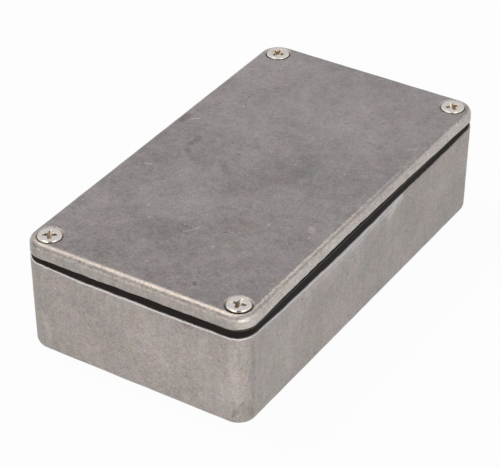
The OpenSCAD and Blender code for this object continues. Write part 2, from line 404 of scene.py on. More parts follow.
def ripples(points, seed, wavelength, height, waves=28):
    """A soft random relief: a sum of cosine waves with random directions and phases."""
    chance = np.random.default_rng(seed)
    way = chance.normal(size=(waves, 3))
    way /= np.linalg.norm(way, axis=1)[:, None]
    turns = 2 * np.pi * way / (wavelength * chance.uniform(0.6, 1.7, (waves, 1)))
    phase = chance.uniform(0, 2 * np.pi, waves)
    return height * np.sqrt(2 / waves) * np.cos(points @ turns.T + phase).sum(1)


def read(mesh, kind, what, width=3):
    """An attribute of a mesh's points, such as their places or normals, as rows."""
    values = np.empty(len(getattr(mesh, kind)) * width, np.float32)
    getattr(mesh, kind).foreach_get(what, values)
    return values.reshape(-1, width).astype(float)


def move(piece, points):
    piece.data.vertices.foreach_set("co", points.astype(np.float32).ravel())
    piece.data.update()


def roughen(piece, *relief):
    """Moves each point along its normal by a sum of ripples, each given as a seed, a
    wavelength and a height."""
    points = read(piece.data, "vertices", "co")
    normals = read(piece.data, "vertex_normals", "vector")
    height = sum(ripples(points, *waves) for waves in relief)
    move(piece, points + normals * height[:, None])


def settle(piece, plan, low=None):
    """Tilts a piece as the lid sits, up at the front left and down at the rear right. With
    low, the tilt grows from nothing at that height to all of it at the lid's lower edge."""
    points = read(piece.data, "vertices", "co")
    slope = -(points[:, 0] / plan.half_x + points[:, 1] / plan.half_y) / 2
    share = 1 if low is None else np.clip((points[:, 2] - low) / (plan.lid_z - low), 0, 1)
    points[:, 2] += plan.cast.lean * slope * share
    move(piece, points)


def cut(piece, operation, patches):
    """Joins closed shapes to a piece, or takes them away."""
    tool = solid("tool", patches)
    change = piece.modifiers.new("cut", "BOOLEAN")
    change.operation, change.object, change.solver = operation, tool, "EXACT"
    depsgraph = bpy.context.evaluated_depsgraph_get()
    mesh = bpy.data.meshes.new_from_object(piece.evaluated_get(depsgraph))
    piece.modifiers.clear()
    piece.data = mesh
    bpy.data.objects.remove(tool)
    shade(piece, SMOOTH_BELOW)


def turned(radius, z, centre, around=64, ridge=None):
    """A surface of revolution round an upright axis, from one pole to the other.

    radius and z have one number for each row, or one for each row and step around. ridge
    gives the height of a thread from the height z and the turn, both as arrays.
    """
    turn = np.arange(around) * 2 * np.pi / around
    radius, z = (np.broadcast_to(np.reshape(value, (len(radius), -1)), (len(radius), around))
                 for value in (radius, z))
    if ridge is not None:
        radius = radius + ridge(z, turn)
    x, y = centre
    return tube_patch(np.stack([x + radius * np.cos(turn), y + radius * np.sin(turn), z], -1))


def thread(depth, pitch, low, high, fade):
    """The height of a thread's ridge over its root: straight flanks with a flat crest, wound
    round the axis, and fading out over a length fade at both ends."""
    half_foot, flank = 0.42, 0.3

    def ridge(z, turn):
        along = (z / pitch - turn / (2 * np.pi)) % 1
        rise = np.clip((half_foot - abs(along - 0.5)) / flank, 0, 1)
        ends = np.clip(np.minimum(z - low, high - z) / fade, 0, 1)
        return depth * rise * ends
    return ridge


def four(x, y):
    """The four places at plus and minus x and y."""
    return [(i * x, j * y) for i in (-1, 1) for j in (-1, 1)]


def dressing(plan, outline, part):
    """How deep a part's edge is dressed at each point of an outline. Smooth steps join the
    depths given at equal distances along a long side, from the front left corner on, and
    along a short side, from the rear left corner on; the other two sides are the same
    turned half round. Both fade out round the corners, which have a depth of their own,
    and the edge is ragged."""
    x, y = outline[..., 0], outline[..., 1]
    on_long, on_short, on_corner = (
        getattr(plan.cast, f"{part}_{side}") for side in ("long", "short", "corner"))

    def curve(along, reach, depths):
        depths = np.asarray(depths)
        place = np.clip((along / reach + 1) / 2, 0, 1) * (len(depths) - 1)
        before = np.minimum(place.astype(int), len(depths) - 2)
        share = (1 - np.cos(np.pi * (place - before))) / 2
        return depths[before] * (1 - share) + depths[before + 1] * share

    round_x = np.clip((abs(x) - plan.core_x) / plan.cast.corner_r, 0, 1)
    round_y = np.clip((abs(y) - plan.core_y) / plan.cast.corner_r, 0, 1)
    long_depth = curve(-x * np.sign(y), plan.core_x, on_long) * round_y ** 2
    short_depth = curve(y * np.sign(x), plan.core_y, on_short) * round_x ** 2
    flat = np.stack([x.ravel(), y.ravel(), 0 * x.ravel()], -1)
    noise = ripples(flat, 41, 5 * MM, 1) + ripples(flat, 42, 1.6 * MM, 0.6)
    corner = np.where(x * y < 0, on_corner[0], on_corner[1]) * (2 * round_x * round_y) ** 2
    return long_depth + short_depth + corner + plan.cast.ragged * noise.reshape(x.shape)


def rounding(cast, reach, z, radius, start, end, steps):
    """An arc in a section that runs tangent into a tapered wall, at reach(z)."""
    return arc(reach(z) - radius / math.cos(cast.draft), z, radius, start, end, steps)


def outside(plan, part, start, first, second, land_z, wall_step, share):
    """A casting's outside, from its section: straight stretches from start over two arcs to
    the land beside the parting edge. Each row moves up by share(z) of the dressing there,
    and the last row goes back to the plain land."""
    c = plan.cast
    land = (c.corner_r - c.dress_w, land_z)
    section = join([
        [start], line(start, first[0], c.mesh_step), first,
        line(first[-1], second[0], wall_step), second,
        line(second[-1], land, c.mesh_step / 2), [land]])
    outline = plain_outline(plan, section[:, 0])
    rows = lift(outline, section[:, 1])
    rows[..., 2] += dressing(plan, outline, part) * share(section[:, 1])[:, None]
    return join([rows, lift(plain_outline(plan, land[0]), land_z)])


def one_skin(plan, outer, inner, inset, z, steps):
    """Joins a casting's outside to its inside by its parting face, and closes both ends. The
    inside ends in a flat face at height z, in which steps lead to a rectangle inside it."""
    middle = lift(inner_rectangle(plan, inset + 2 * MM), z)
    rows = join([
        outer, ruled(outer[-1], inner[0], 3), inner, ruled(inner[-1], middle[0], steps), middle])
    return [tube_patch(rows), middle_patch(rows[0]), middle_patch(rows[-1])]


def base_surface(plan):
    """The base in one skin: under it, up its tapered outside, over the rim, down the cavity
    with its columns and guides, and over the floor. Each row is a closed outline."""
    c = plan.cast
    rim_low, faded = plan.rim_z - c.rim_r, 4 * MM

    def reach(z):
        return c.corner_r + (z - plan.rim_z) * plan.slope

    def share(z):
        return -np.clip((z - rim_low) / faded + 1, 0, 1)

    foot = rounding(c, reach, c.foot_r, c.foot_r, -math.pi / 2, -c.draft, 9)
    rim = rounding(c, reach, rim_low, c.rim_r, -c.draft, math.pi / 2, 5)
    outer = outside(plan, "base", (0, 0), foot, rim, plan.rim_z, c.mesh_step, share)
    guide_z = plan.rim_z - c.guide_low
    foot_z = c.floor_t + c.floor_r
    upper = np.linspace(plan.rim_z, guide_z, 7)
    lower = np.linspace(guide_z, foot_z, 20)
    turn = np.linspace(0, math.pi / 2, 7)[1:]
    z = join([upper, lower, foot_z - c.floor_r * np.sin(turn)])
    inset = join([0 * upper, 0 * lower, c.floor_r * (1 - np.cos(turn))])
    rib = np.where(np.arange(len(z)) < len(upper), 0, np.maximum(c.guide_out - inset, 0))
    inner = lift(notched_outline(plan, inset, z, rib, column_slope=plan.slope / 2), z)
    return one_skin(plan, outer, inner, c.floor_r, c.floor_t, 8)


def lid_surface(plan):
    """The lid in one skin: its top face, rounded edge, side and lower edge, the face on the
    gasket, round the lip and over the plate's underside. Each row is a closed outline."""
    c = plan.cast
    crown_z, skirt_z = plan.top_z - c.crown_r, plan.lid_z + c.skirt_r
    plate_z, soft = plan.top_z - c.plate, 0.15 * MM

    def reach(z):
        return c.corner_r - (z - plan.lid_z) * plan.slope

    def share(z):
        return np.clip((crown_z - z) / (crown_z - skirt_z), 0, 1)

    crown = rounding(c, reach, crown_z, c.crown_r, math.pi / 2, c.draft, 14)
    skirt = rounding(c, reach, skirt_z, c.skirt_r, c.draft, -math.pi / 2, 6)
    outer = outside(plan, "lid", (0, plan.top_z), crown, skirt, plan.lid_z, c.mesh_step / 2,
                    share)
    down = np.linspace(plan.lid_z, plan.lip_z + soft, 5)
    up = np.linspace(plan.lip_z + soft, plate_z - c.lip_root_r, 6)
    turn = np.linspace(0, math.pi / 2, 6)[1:]
    inset_down = join([0 * down, [soft]]) + c.lip_gap
    inset_up = join([[-soft], 0 * up, c.lip_root_r * (1 - np.cos(turn))])
    inset_up += c.lip_gap + c.lip_t
    z_down = np.append(down, plan.lip_z)
    z_up = join([[plan.lip_z], up, plate_z - c.lip_root_r * (1 - np.sin(turn))])
    inner = join([
        lift(notched_outline(plan, inset_down, z_down), z_down),
        lift(notched_outline(plan, inset_up, z_up, slope=-plan.slope), z_up)])
    return one_skin(plan, outer, inner, c.lip_gap + c.lip_t, plate_z, 6)


def gasket_surface(plan):
    """The gasket as a closed ring: out at the walls, in at the cavity and its columns. Its
    outer face bulges a little between its rounded edges, and the rubber is squeezed out
    into the strips that are dressed off the base and the lid."""
    g, c = plan.seal, plan.cast
    low, high = plan.rim_z, plan.lid_z
    reach = c.corner_r - g.inset
    under = arc(reach - g.edge_r, low + g.edge_r, g.edge_r, -math.pi / 2, 0, 5)
    over = arc(reach - g.edge_r, high - g.edge_r, g.edge_r, 0, math.pi / 2, 5)
    section = join([under, line(under[-1], over[0], 0.2 * MM), over])
    swell = g.bulge * np.sin(np.pi * (section[:, 1] - low) / (high - low))
    outer = plain_outline(plan, section[:, 0] + swell)
    down, up = dressing(plan, outer, "base"), dressing(plan, outer, "lid")
    share = (section[:, 1, None] - low) / (high - low)
    outer = lift(outer, section[:, 1])
    outer[..., 2] += up * share - down * (1 - share)
    land = np.repeat(plain_outline(plan, c.corner_r - c.dress_w), 2, 0)
    over_land, under_land = lift(land, high), lift(land, low)
    over_land[0, :, 2] = outer[-1, :, 2]
    under_land[1, :, 2] = outer[0, :, 2]
    z = np.linspace(high, low, 4)
    inner = lift(notched_outline(plan, 0, z, slope=0), z)
    rows = join([
        outer, over_land, ruled(over_land[-1], inner[0], 4), inner,
        ruled(inner[-1], under_land[0], 4), under_land, outer[:1]])
    return [tube_patch(rows)]


def seat_tool(plan, place):
    """What the lid loses for a screw: a clear hole, a cone and a pocket with a soft edge."""
    s = plan.screw
    pocket_r, hole_r, soft = plan.head_r + s.pocket_gap, s.hole_d / 2, s.pocket_round
    pocket_z = plan.head_z - s.head_edge + s.pocket_gap - s.seat_gap
    edge = arc(pocket_r + soft, plan.top_z - soft, soft, math.pi, math.pi / 2, 4)
    section = join([
        [(0, plan.lip_z - MM), (hole_r, plan.lip_z - MM), (hole_r, pocket_z - pocket_r + hole_r),
         (pocket_r, pocket_z)], edge,
        [(pocket_r + 2 * soft, plan.top_z + soft / 2), (0, plan.top_z + soft / 2)]])
    return turned(section[:, 0], section[:, 1], place)


def tapped_tool(place, radius, top, deep, depth, pitch, rows_per_turn=5, around=34):
    """A tapped hole: a drilled hole with its cone, a thread cut into its wall and a small
    countersink at its mouth."""
    half_drill_point = math.radians(59)
    tip = radius / math.tan(half_drill_point)
    mouth, fade = 0.3 * MM, 0.6 * MM
    rows = round(deep / pitch * rows_per_turn)
    wall = np.linspace(top - deep, top - mouth, rows)
    radii = join([
        [0, radius], np.full(rows, radius), [radius + mouth, radius + mouth, 0]])
    z = join([
        [top - deep - tip, top - deep], wall, [top + 0.02 * MM, top + MM, top + MM]])
    ridge = thread(depth, pitch, top - deep + fade, top + MM, fade)

    def groove(z, turn):
        return ridge(z, turn) * (z < top)
    return turned(radii, z, place, around, groove)


def post_tool(plan, place):
    """A board post that narrows as it rises from the floor, with a soft upper edge."""
    c = plan.cast
    top, radius, soft = POSTS["pos_m"][2], c.post_d / 2, 0.2 * MM
    root, low = 0.5 * MM, c.floor_t - 0.8 * MM
    foot = arc(radius + (top - c.floor_t) * plan.slope + root, c.floor_t + root, root,
               -math.pi / 2, -math.pi, 4)
    edge = arc(radius - soft, top - soft, soft, 0, math.pi / 2, 3)
    section = join([[(0, low), (foot[0, 0], low)], foot, edge, [(0, top)]])
    return turned(section[:, 0], section[:, 1], place, 48)


def recess_outline(plan, turn, depth):
    """How far the cross recess reaches at each turn, for each depth below the head's face.

    A wing ends where the tapered cone around the cross ends it, and its sides stand half a
    wing's width from its middle line; a pointed core joins the four wings. Each corner
    between them is rounded by adding high powers of the distances.
    """
    s = plan.screw
    depth = np.reshape(depth, (-1, 1))
    share = depth / s.recess_deep
    from_wing = abs((turn + np.pi / 4) % (np.pi / 2) - np.pi / 4)
    end = (s.recess_d * (1 - share) + s.recess_low_d * share) / 2
    half = s.wing_w / 2 * (1.06 - 0.2 * share)
    side = half / np.maximum(np.sin(from_wing), 1e-3)
    core = s.wing_w * (0.9 - 0.4 * share)
    power = 9.0
    wing = (end ** -power + side ** -power) ** (-1 / power)
    return (wing ** power + core ** power) ** (1 / power)


def screw_surface(plan, place, turn_of_cross, around=144, rows_per_turn=7, face_rows=8):
    """A screw in one skin, from the tip's pole up its thread, over the head and down into
    the recess. Its thread is a ridge wound round the shank."""
    s = plan.screw
    core, head, soft = s.core_d / 2, plan.head_r, s.head_round
    cone_z = plan.head_z - s.head_edge
    neck_z = cone_z - (head - core)
    rows = round((neck_z - plan.tip_z) / s.pitch * rows_per_turn)
    shank = np.linspace(plan.tip_z + s.tip_h, neck_z, rows)
    low_x, low_z = head - soft, plan.head_z - soft - s.bevel * math.cos(s.bevel_turn)
    top_x = low_x - s.bevel * math.sin(s.bevel_turn)
    edge = join([
        arc(low_x, low_z, soft, 0, s.bevel_turn, 3),
        arc(top_x, plan.head_z - soft, soft, s.bevel_turn, math.pi / 2, 4)])
    chamfer = 0.05 * MM
    cone = line((core, neck_z), (head - chamfer, cone_z), 0.25 * MM)
    radii = join([
        [0, core - s.tip_h], np.full(rows, core), cone[:, 0],
        [head - chamfer, head, head], edge[:, 0]])
    z = join([
        [plan.tip_z, plan.tip_z], shank, cone[:, 1],
        [cone_z - 0.02 * MM, cone_z + 0.05 * MM, cone_z + 0.15 * MM], edge[:, 1]])
    turn = np.arange(around) * 2 * np.pi / around
    depth = join([[0, 0.02, 0.06], np.linspace(0.14, 1, 12)]) * s.recess_deep
    walls = recess_outline(plan, turn - turn_of_cross, depth)
    walls[1:] -= 0.02 * MM
    mouth = walls[0] + 0.05 * MM
    share = np.linspace(0, 1, face_rows + 1)[1:, None]
    face = edge[-1, 0] * (1 - share) + mouth * share
    below = walls[-1] * np.array([[0.5], [0]])
    radius = join([np.repeat(radii[:, None], around, 1), face, walls[1:], below])
    heights = join([
        z, np.full(face_rows, plan.head_z), plan.head_z - depth[1:],
        plan.head_z - s.recess_deep - np.array([0.08, 0.16]) * MM])
    ridge = thread((s.thread_d - s.core_d) / 2, s.pitch, plan.tip_z, neck_z, 0.9 * MM)

    def wound(z, angle):
        return ridge(z, angle) * (radius < core * 1.001) * (z < neck_z)
    return [turned(radius, heights, place, around, wound)]


class Term:
    """A number that varies over a surface: a shader socket that takes part in arithmetic.
    Each operation adds one Math node."""

    def __init__(self, paint, socket):
        self.paint = paint
        self.socket = socket

    def __neg__(self):
        return self * -1

    def __abs__(self):
        return self.paint.math("ABSOLUTE", self)

    def between(self, low, high):
        """0 where this is under low, 1 where it is over high, and smooth in between."""
        return self.paint.node(
            "MapRange", {"interpolation_type": "SMOOTHSTEP"},
            {"Value": self, "From Min": low, "From Max": high}, "Result")

    def across(self, low, high):
        """The same for a length, with low and high in millimetres."""
        return self.between(low * MM, high * MM)


def overload(operation, swapped):
    """An operator of Term that adds a Math node, with its two numbers swapped or not."""
    def act(self, other):
        pair = (other, self) if swapped else (self, other)
        return self.paint.math(operation, *pair)
    return act


for sign, operation in (("add", "ADD"), ("sub", "SUBTRACT"), ("mul", "MULTIPLY"),
                        ("truediv", "DIVIDE"), ("pow", "POWER")):
    setattr(Term, f"__{sign}__", overload(operation, False))
    setattr(Term, f"__r{sign}__", overload(operation, True))


class Paint:
    """A node tree under work: one method adds any node, and the others name common uses.
    Sizes, widths and reaches are in millimetres."""

    def __init__(self, owner):
        owner.use_nodes = True
        self.tree = owner.node_tree
        self.tree.nodes.clear()

    def node(self, kind, settings, values, output=0):
        """Adds a node, sets its settings, then gives its sockets values or links."""
        node = self.tree.nodes.new(f"ShaderNode{kind}")
        for name, value in settings.items():
            setattr(node, name, value)
        for name, value in values.items():
            if isinstance(value, Term):
                self.tree.links.new(value.socket, node.inputs[name])
            else:
                node.inputs[name].default_value = value
        return Term(self, node.outputs[output])

    def math(self, operation, *numbers):
        return self.node("Math", {"operation": operation}, dict(enumerate(numbers)))

    def place(self):
        """Object coordinates, in metres from the box's origin."""
        return self.node("TexCoord", {}, {}, "Object")

    def faces_up(self):
        """1 where the surface looks straight up, 0 where it stands upright."""
        return self.parts(self.node("NewGeometry", {}, {}, "Normal"))[2]

    def parts(self, vector):
        split = self.node("SeparateXYZ", {}, {0: vector}).socket.node
        return [Term(self, output) for output in split.outputs]

    def stretched(self, vector, turn, scale):
        """Coordinates turned about Z and then scaled, for marks that run one way."""
        return self.node("Mapping", {"vector_type": "POINT"},
                         {"Vector": vector, "Rotation": (0, 0, turn), "Scale": scale})

    def noise(self, vector, size, seed, detail=2.0, roughness=0.5, output="Fac"):
        """Noise between 0 and 1 with features of about the given size."""
        return self.node("TexNoise", {"noise_dimensions": "4D"},
                         {"Vector": vector, "W": seed, "Scale": 1 / (size * MM),
                          "Detail": detail, "Roughness": roughness}, output)

    def vector(self, operation, *values, output=0):
        return self.node("VectorMath", {"operation": operation},
                         dict(enumerate(values)), output)

    def scaled(self, vector, factor):
        """A colour or vector times a number."""
        return self.node("VectorMath", {"operation": "SCALE"}, {0: vector, 3: factor})

    def warped(self, vector, size, seed, reach):
        """Coordinates shifted by noise, up to about a quarter of reach either way."""
        shift = self.noise(vector, size, seed, output="Color")
        shift = self.vector("SUBTRACT", shift, (0.5, 0.5, 0.5))
        return self.vector("MULTIPLY_ADD", shift, (reach * MM,) * 3, vector)

    def stroke(self, vector, start, end, width):
        """1 along the straight line from start to end, falling to 0 at width from it."""
        start, along = Vector(start) * MM, (Vector(end) - Vector(start)) * MM
        offset = self.vector("SUBTRACT", vector, start)
        share = self.vector("DOT_PRODUCT", offset, along / max(along.length_squared, 1e-12),
                            output="Value")
        share = self.at_most_one(self.math("MAXIMUM", share, 0))
        distance = self.vector("DISTANCE", offset, self.scaled(along, share), output="Value")
        return 1 - distance.across(0.3 * width, width)

    def at_most_one(self, number):
        return self.math("MINIMUM", number, 1)

    def tinted(self, tone, vector, size, seed, strength):
        """A colour whose red, green and blue each wander a little by themselves."""
        wander = self.noise(vector, size, seed, 3.0, 0.75, "Color")
        reach = Vector((strength, 0.6 * strength, strength))
        share = self.vector("MULTIPLY_ADD", wander, reach, Vector((1, 1, 1)) - reach / 2)
        return self.vector("MULTIPLY", share, tone)

    def spots(self, vector, size, seed, edge, rare):
        """Round spots at scattered points: each fades out over edge, in cells, and only the
        points whose chance value is over rare have one."""
        distance = self.node("TexVoronoi", {"voronoi_dimensions": "4D"},
                             {"Vector": vector, "W": seed, "Scale": 1 / (size * MM)})
        chance = self.parts(Term(self, distance.socket.node.outputs["Color"]))[0]
        return (1 - distance.between(*edge)) * chance.between(*rare)

    def mix(self, share, first, second):
        """A colour between two colours."""
        return self.node("Mix", {"data_type": "RGBA"}, {0: share, 6: first, 7: second}, 2)

    def bump(self, height, depth):
        """A normal tilted by a relief whose height of 1 stands out by depth."""
        return self.node("Bump", {}, {"Distance": depth * MM, "Height": height}, "Normal")

    def principled(self, values):
        """Ends the tree with a surface of this colour, roughness and so on."""
        self.finish(self.node("BsdfPrincipled", {}, values))

    def finish(self, shader, kind="OutputMaterial"):
        end = self.tree.nodes.new(f"ShaderNode{kind}")
        self.tree.links.new(shader.socket, end.inputs["Surface"])


def rgba(value):
    return (*value, 1)


def material(name):
    made = bpy.data.materials.new(name)
    return made, Paint(made)


def distance(x, y):
    return (x * x + y * y) ** 0.5


def wall_reach(paint, plan, x, y):
    """How far a point lies outside the box's core rectangle, along the outline's reach."""
    over_x = paint.math("MAXIMUM", abs(x) - plan.core_x, 0)
    over_y = paint.math("MAXIMUM", abs(y) - plan.core_y, 0)
    return distance(over_x, over_y)


def on_face(axis, level, *marks):
    """Marks on a face that stands at level on an axis: 0 for X, 1 for Y, 2 for Z. Each row
    has the two other coordinates of the mark's start and of its end, then the rest."""
    def at(pair):
        return (*pair[:axis], level, *pair[axis:])
    return [(at(row[:2]), at(row[2:4]), *row[4:]) for row in marks]


# The marks that stand out on the box: where each starts and ends and its width (mm), and
# how much lighter or darker it is, or for the rim's painted highlight strokes how strongly the rim
# is painted bright there
LID_MARKS = on_face(
    2, 0, (10.8, 28.2, 12.5, 26.5, 0.22, 0.9), (-13, 26.1, -12.6, 24.2, 0.22, 1.0),
    (-33.9, 0.6, -30.4, -1.7, 0.25, 0.5), (27.8, -27.3, 29, -29.3, 0.25, 0.5),
    (-17.6, -25.6, -16.6, -24.9, 1.3, 0.35), (-50.9, -13.8, -50.2, -13.2, 0.6, -0.36),
    (25.2, -17.7, 25.2, -17.2, 0.6, -0.3), (24, -20.4, 24.3, -20.8, 0.5, -0.28),
    (2.6, 8.4, 2.8, 8.1, 0.6, -0.3), (-29, -8, -28.6, -8.4, 0.5, -0.28),
    (0.8, 21.3, 4.4, 21.2, 1.2, -0.22), (-2.8, 19.8, -2, 20.6, 1.2, -0.28),
    (-2, 10, -6, 6, 1.4, -0.16), (11.9, 29.9, 9, 29.9, 1.5, -0.25),
    (-8, 0, 8, -9, 7, -0.07), (-24, -8, -38, 8, 6, -0.08))
SHORT_MARKS = on_face(
    0, -57.4, (-28.4, 23, -29, 9, 1.9, 0.12), (-20, 20, -24, 6, 5, 0.06),
    (-14, 16, -24, 12, 16, 0.03), (27, 12, 25, 5, 1.2, 0.10), (-25.6, 14.9, -25.6, 14.6, 0.4, 0.3),
    (-10.1, 11, -10.1, 10.6, 0.4, 0.3), (-16.9, 25.3, -15.5, 25.2, 1.2, -0.28),
    (-24.8, 18.4, -24.8, 18.2, 0.45, -0.25))
LONG_MARKS = on_face(
    1, -32, (-32.6, 23.9, -32.4, 23.8, 0.4, -0.5), (-27.9, 23.1, -27.8, 23, 0.4, -0.5),
    (-34.2, 24.2, -33.8, 24.2, 0.3, -0.4), (-30.4, 22.4, -30.2, 22.3, 0.3, -0.4),
    (-8.5, 25, -30, 24, 2.0, 0.14), (-10, 24, -34, 24, 7, 0.05), (-30, 21, -40, 17, 3.2, 0.07),
    (15.7, 25.6, 10.2, 23.6, 2.0, 0.22), (12, 24, 9.8, 20, 2.4, 0.08), (3.4, 25, -8, 24, 1.4, 0.14),
    (8, 20, -2, 14, 4.5, -0.07), (18.6, 21.5, 24.4, 11, 4.5, -0.06), (-12, 19, -24, 15, 4.0, -0.06))
CORNER_MARKS = [
    ((-53.7, -31.6, 24), (-53.5, -31.6, 8), 0.9, -0.1),
    ((-57, -28.1, 3.2), (-55.8, -30.3, 7.2), 0.7, -0.24),
    ((-56.4, -29.4, 3.4), (-54.4, -31.4, 4.4), 2.6, -0.15),
    ((-55.2, -30.9, 6.4), (-54.5, -31.3, 3), 2.2, -0.1),
    ((-55.6, -30.5, 6.6), (-55.5, -30.6, 6.4), 0.5, -0.2),
    ((-56.6, -29.2, 3.3), (-56.4, -29.5, 2.6), 0.3, 0.4)]
# Strokes of painted highlight along and just under the base's rim on the front long side
RIM_HIGHLIGHTS = on_face(
    1, -32, (16, 25.8, 8, 24.8, 1.2, 0.45), (13, 24.6, 9.8, 22, 1.6, 0.25),
    (7, 24.9, -8, 24, 1.0, 0.22), (-12, 24.2, -22, 23.8, 0.9, 0.12))


class CastMetal:
    """Tumbled cast aluminium: what the finishes of the base and the lid share."""

    def __init__(self, name, plan, colours):
        self.made, self.paint = material(name)
        self.plan, self.colours = plan, colours
        paint = self.paint
        self.place = paint.place()
        self.x, self.y, self.z = paint.parts(self.place)
        self.warped = paint.warped(self.place, 9, 8.8, 5)
        self.uneven = paint.warped(self.place, 1.2, 7.1, 0.9)
        self.clouds = paint.noise(self.warped, 22, 1.3, 2, 0.8) - 0.5
        self.mottle = paint.noise(self.warped, 3.0, 2.7, 2, 0.8) - 0.5
        self.grain = paint.noise(self.place, 0.55, 3.1, 2, 0.9) - 0.5
        self.reach = wall_reach(paint, plan, self.x, self.y) - plan.cast.corner_r
        self.on_long = (abs(self.y) - plan.core_y).across(2, 4)
        self.pit = paint.spots(self.place, 1.7, 0.7, (0.12, 0.23), (0.5, 0.8))
        self.scratches = self.scratched()

    def scratched(self):
        """Thin scratches in three directions: a seed and a turn for each."""
        paint, total = self.paint, 0
        for seed, turn in ((5.5, 0.2), (6.6, 1.2), (7.7, 2.3)):
            streak = paint.noise(paint.stretched(self.warped, turn, (0.1, 1, 1)), 0.4, seed, 1, 0.4)
            total = total + streak.between(0.75, 0.83)
        return total

    def tone(self):
        """Clouds, mottling and grain, drag marks down the walls, and a slow change of tone
        along and across the box."""
        paint, on_wall = self.paint, self.reach.across(-1.0, -0.3)
        drag = paint.noise(paint.stretched(self.place, 0, (1, 1, 0.1)), 1.3, 4.9, 3, 0.8) - 0.5
        tone = 1 + self.clouds * (0.65 - on_wall * 0.2) + self.mottle * (0.7 - on_wall * 0.2)
        tone = tone + self.grain * (1.2 + on_wall * 0.1) + drag * on_wall * 0.3
        tone = tone + self.x * (0.05 - on_wall * 0.07) * (1 / self.plan.half_x)
        return tone - self.y * on_wall * (0.03 / self.plan.half_y)

    def rubbed(self):
        """Where the skin is rubbed bright all over: scratches, flecks and small patches."""
        fleck = self.paint.spots(self.place, 2.2, 0.9, (0.09, 0.17), (0.5, 0.7))
        patches = self.paint.noise(self.warped, 1.5, 3.9, 3, 0.7).between(0.68, 0.88)
        return self.scratches * 0.5 + fleck * 0.6 + patches * 0.25

    def coloured(self, skin, tone, where, marks):
        """A faintly tinted colour times a tone that has the marks in it."""
        for start, end, width, strength in marks:
            tone = tone + self.paint.stroke(where, start, end, width) * strength
        return self.paint.scaled(self.paint.tinted(skin, self.place, 3.5, 2.2, 0.25), tone)

    def aged(self, base, rubbed):
        """Adds pits and stains, and then the rubbed places, which on the lid take in painted
        highlights too.
        """
        paint = self.paint
        stain = paint.noise(self.warped, 2.4, 9.4, 4, 0.65).between(0.60, 0.78)
        stain = stain * self.clouds.between(0.1, -0.12) * 0.55
        base = paint.mix(paint.at_most_one(self.pit * 0.8 + stain), base,
                         rgba(self.colours.cast_dark))
        return paint.mix(paint.at_most_one(rubbed), base, rgba(self.colours.cast_bright))

    def finished(self, base):
        """The material, with this colour and a relief that goes with the mottling."""
        mottle, grain = self.mottle, self.grain
        relief = grain * 1.0 + mottle * 1.3 - self.pit * 1.2 - self.scratches * 0.4
        self.paint.principled({
            "Base Color": base, "Metallic": 0.8, "Specular IOR Level": 0.5,
            "Roughness": 0.5 + mottle * 0.3 + grain * 0.2,
            "Normal": self.paint.bump(relief, 0.035)})
        return self.made


def base_metal(name, plan, colours):
    """The base's finish: its long walls get darker downwards and have tall faint patches of
    tint, and its rim is painted with a highlight where it faces up and along the rim's highlight
    strokes."""
    metal = CastMetal(name, plan, colours)
    paint, clouds, grain, on_long = metal.paint, metal.clouds, metal.grain, metal.on_long
    tone = metal.tone() + (metal.z * (1 / plan.rim_z) - 0.95) * on_long * 0.035
    base = metal.coloured(tuple(colours.cast_base), tone, metal.uneven,
                          SHORT_MARKS + LONG_MARKS + CORNER_MARKS)
    tall = paint.stretched(metal.place, 0, (1, 1, 0.35))
    base = paint.mix(on_long, base, paint.tinted(base, tall, 5, 4.4, 0.18))
    # rim masks the painted highlight on the rim where it faces up, except towards the right of the
    # long sides
    rim = paint.faces_up().between(0.08, 0.35) * metal.z.across(24, 24.5)
    rim = rim * metal.reach.across(-0.5, -0.35) * (1.1 + clouds * 2 + grain * 2)
    rim = rim * (1 - on_long * metal.x.across(5, 30))
    # each stroke adds more painted highlight along the rim
    for start, end, width, strength in RIM_HIGHLIGHTS:
        stroke = paint.stroke(metal.uneven, start, end, width)
        rim = rim + stroke * (strength + grain * 2 * strength)
    base = metal.aged(base, metal.rubbed())
    return metal.finished(paint.mix(paint.at_most_one(rim), base, rgba(colours.cast_rim)))


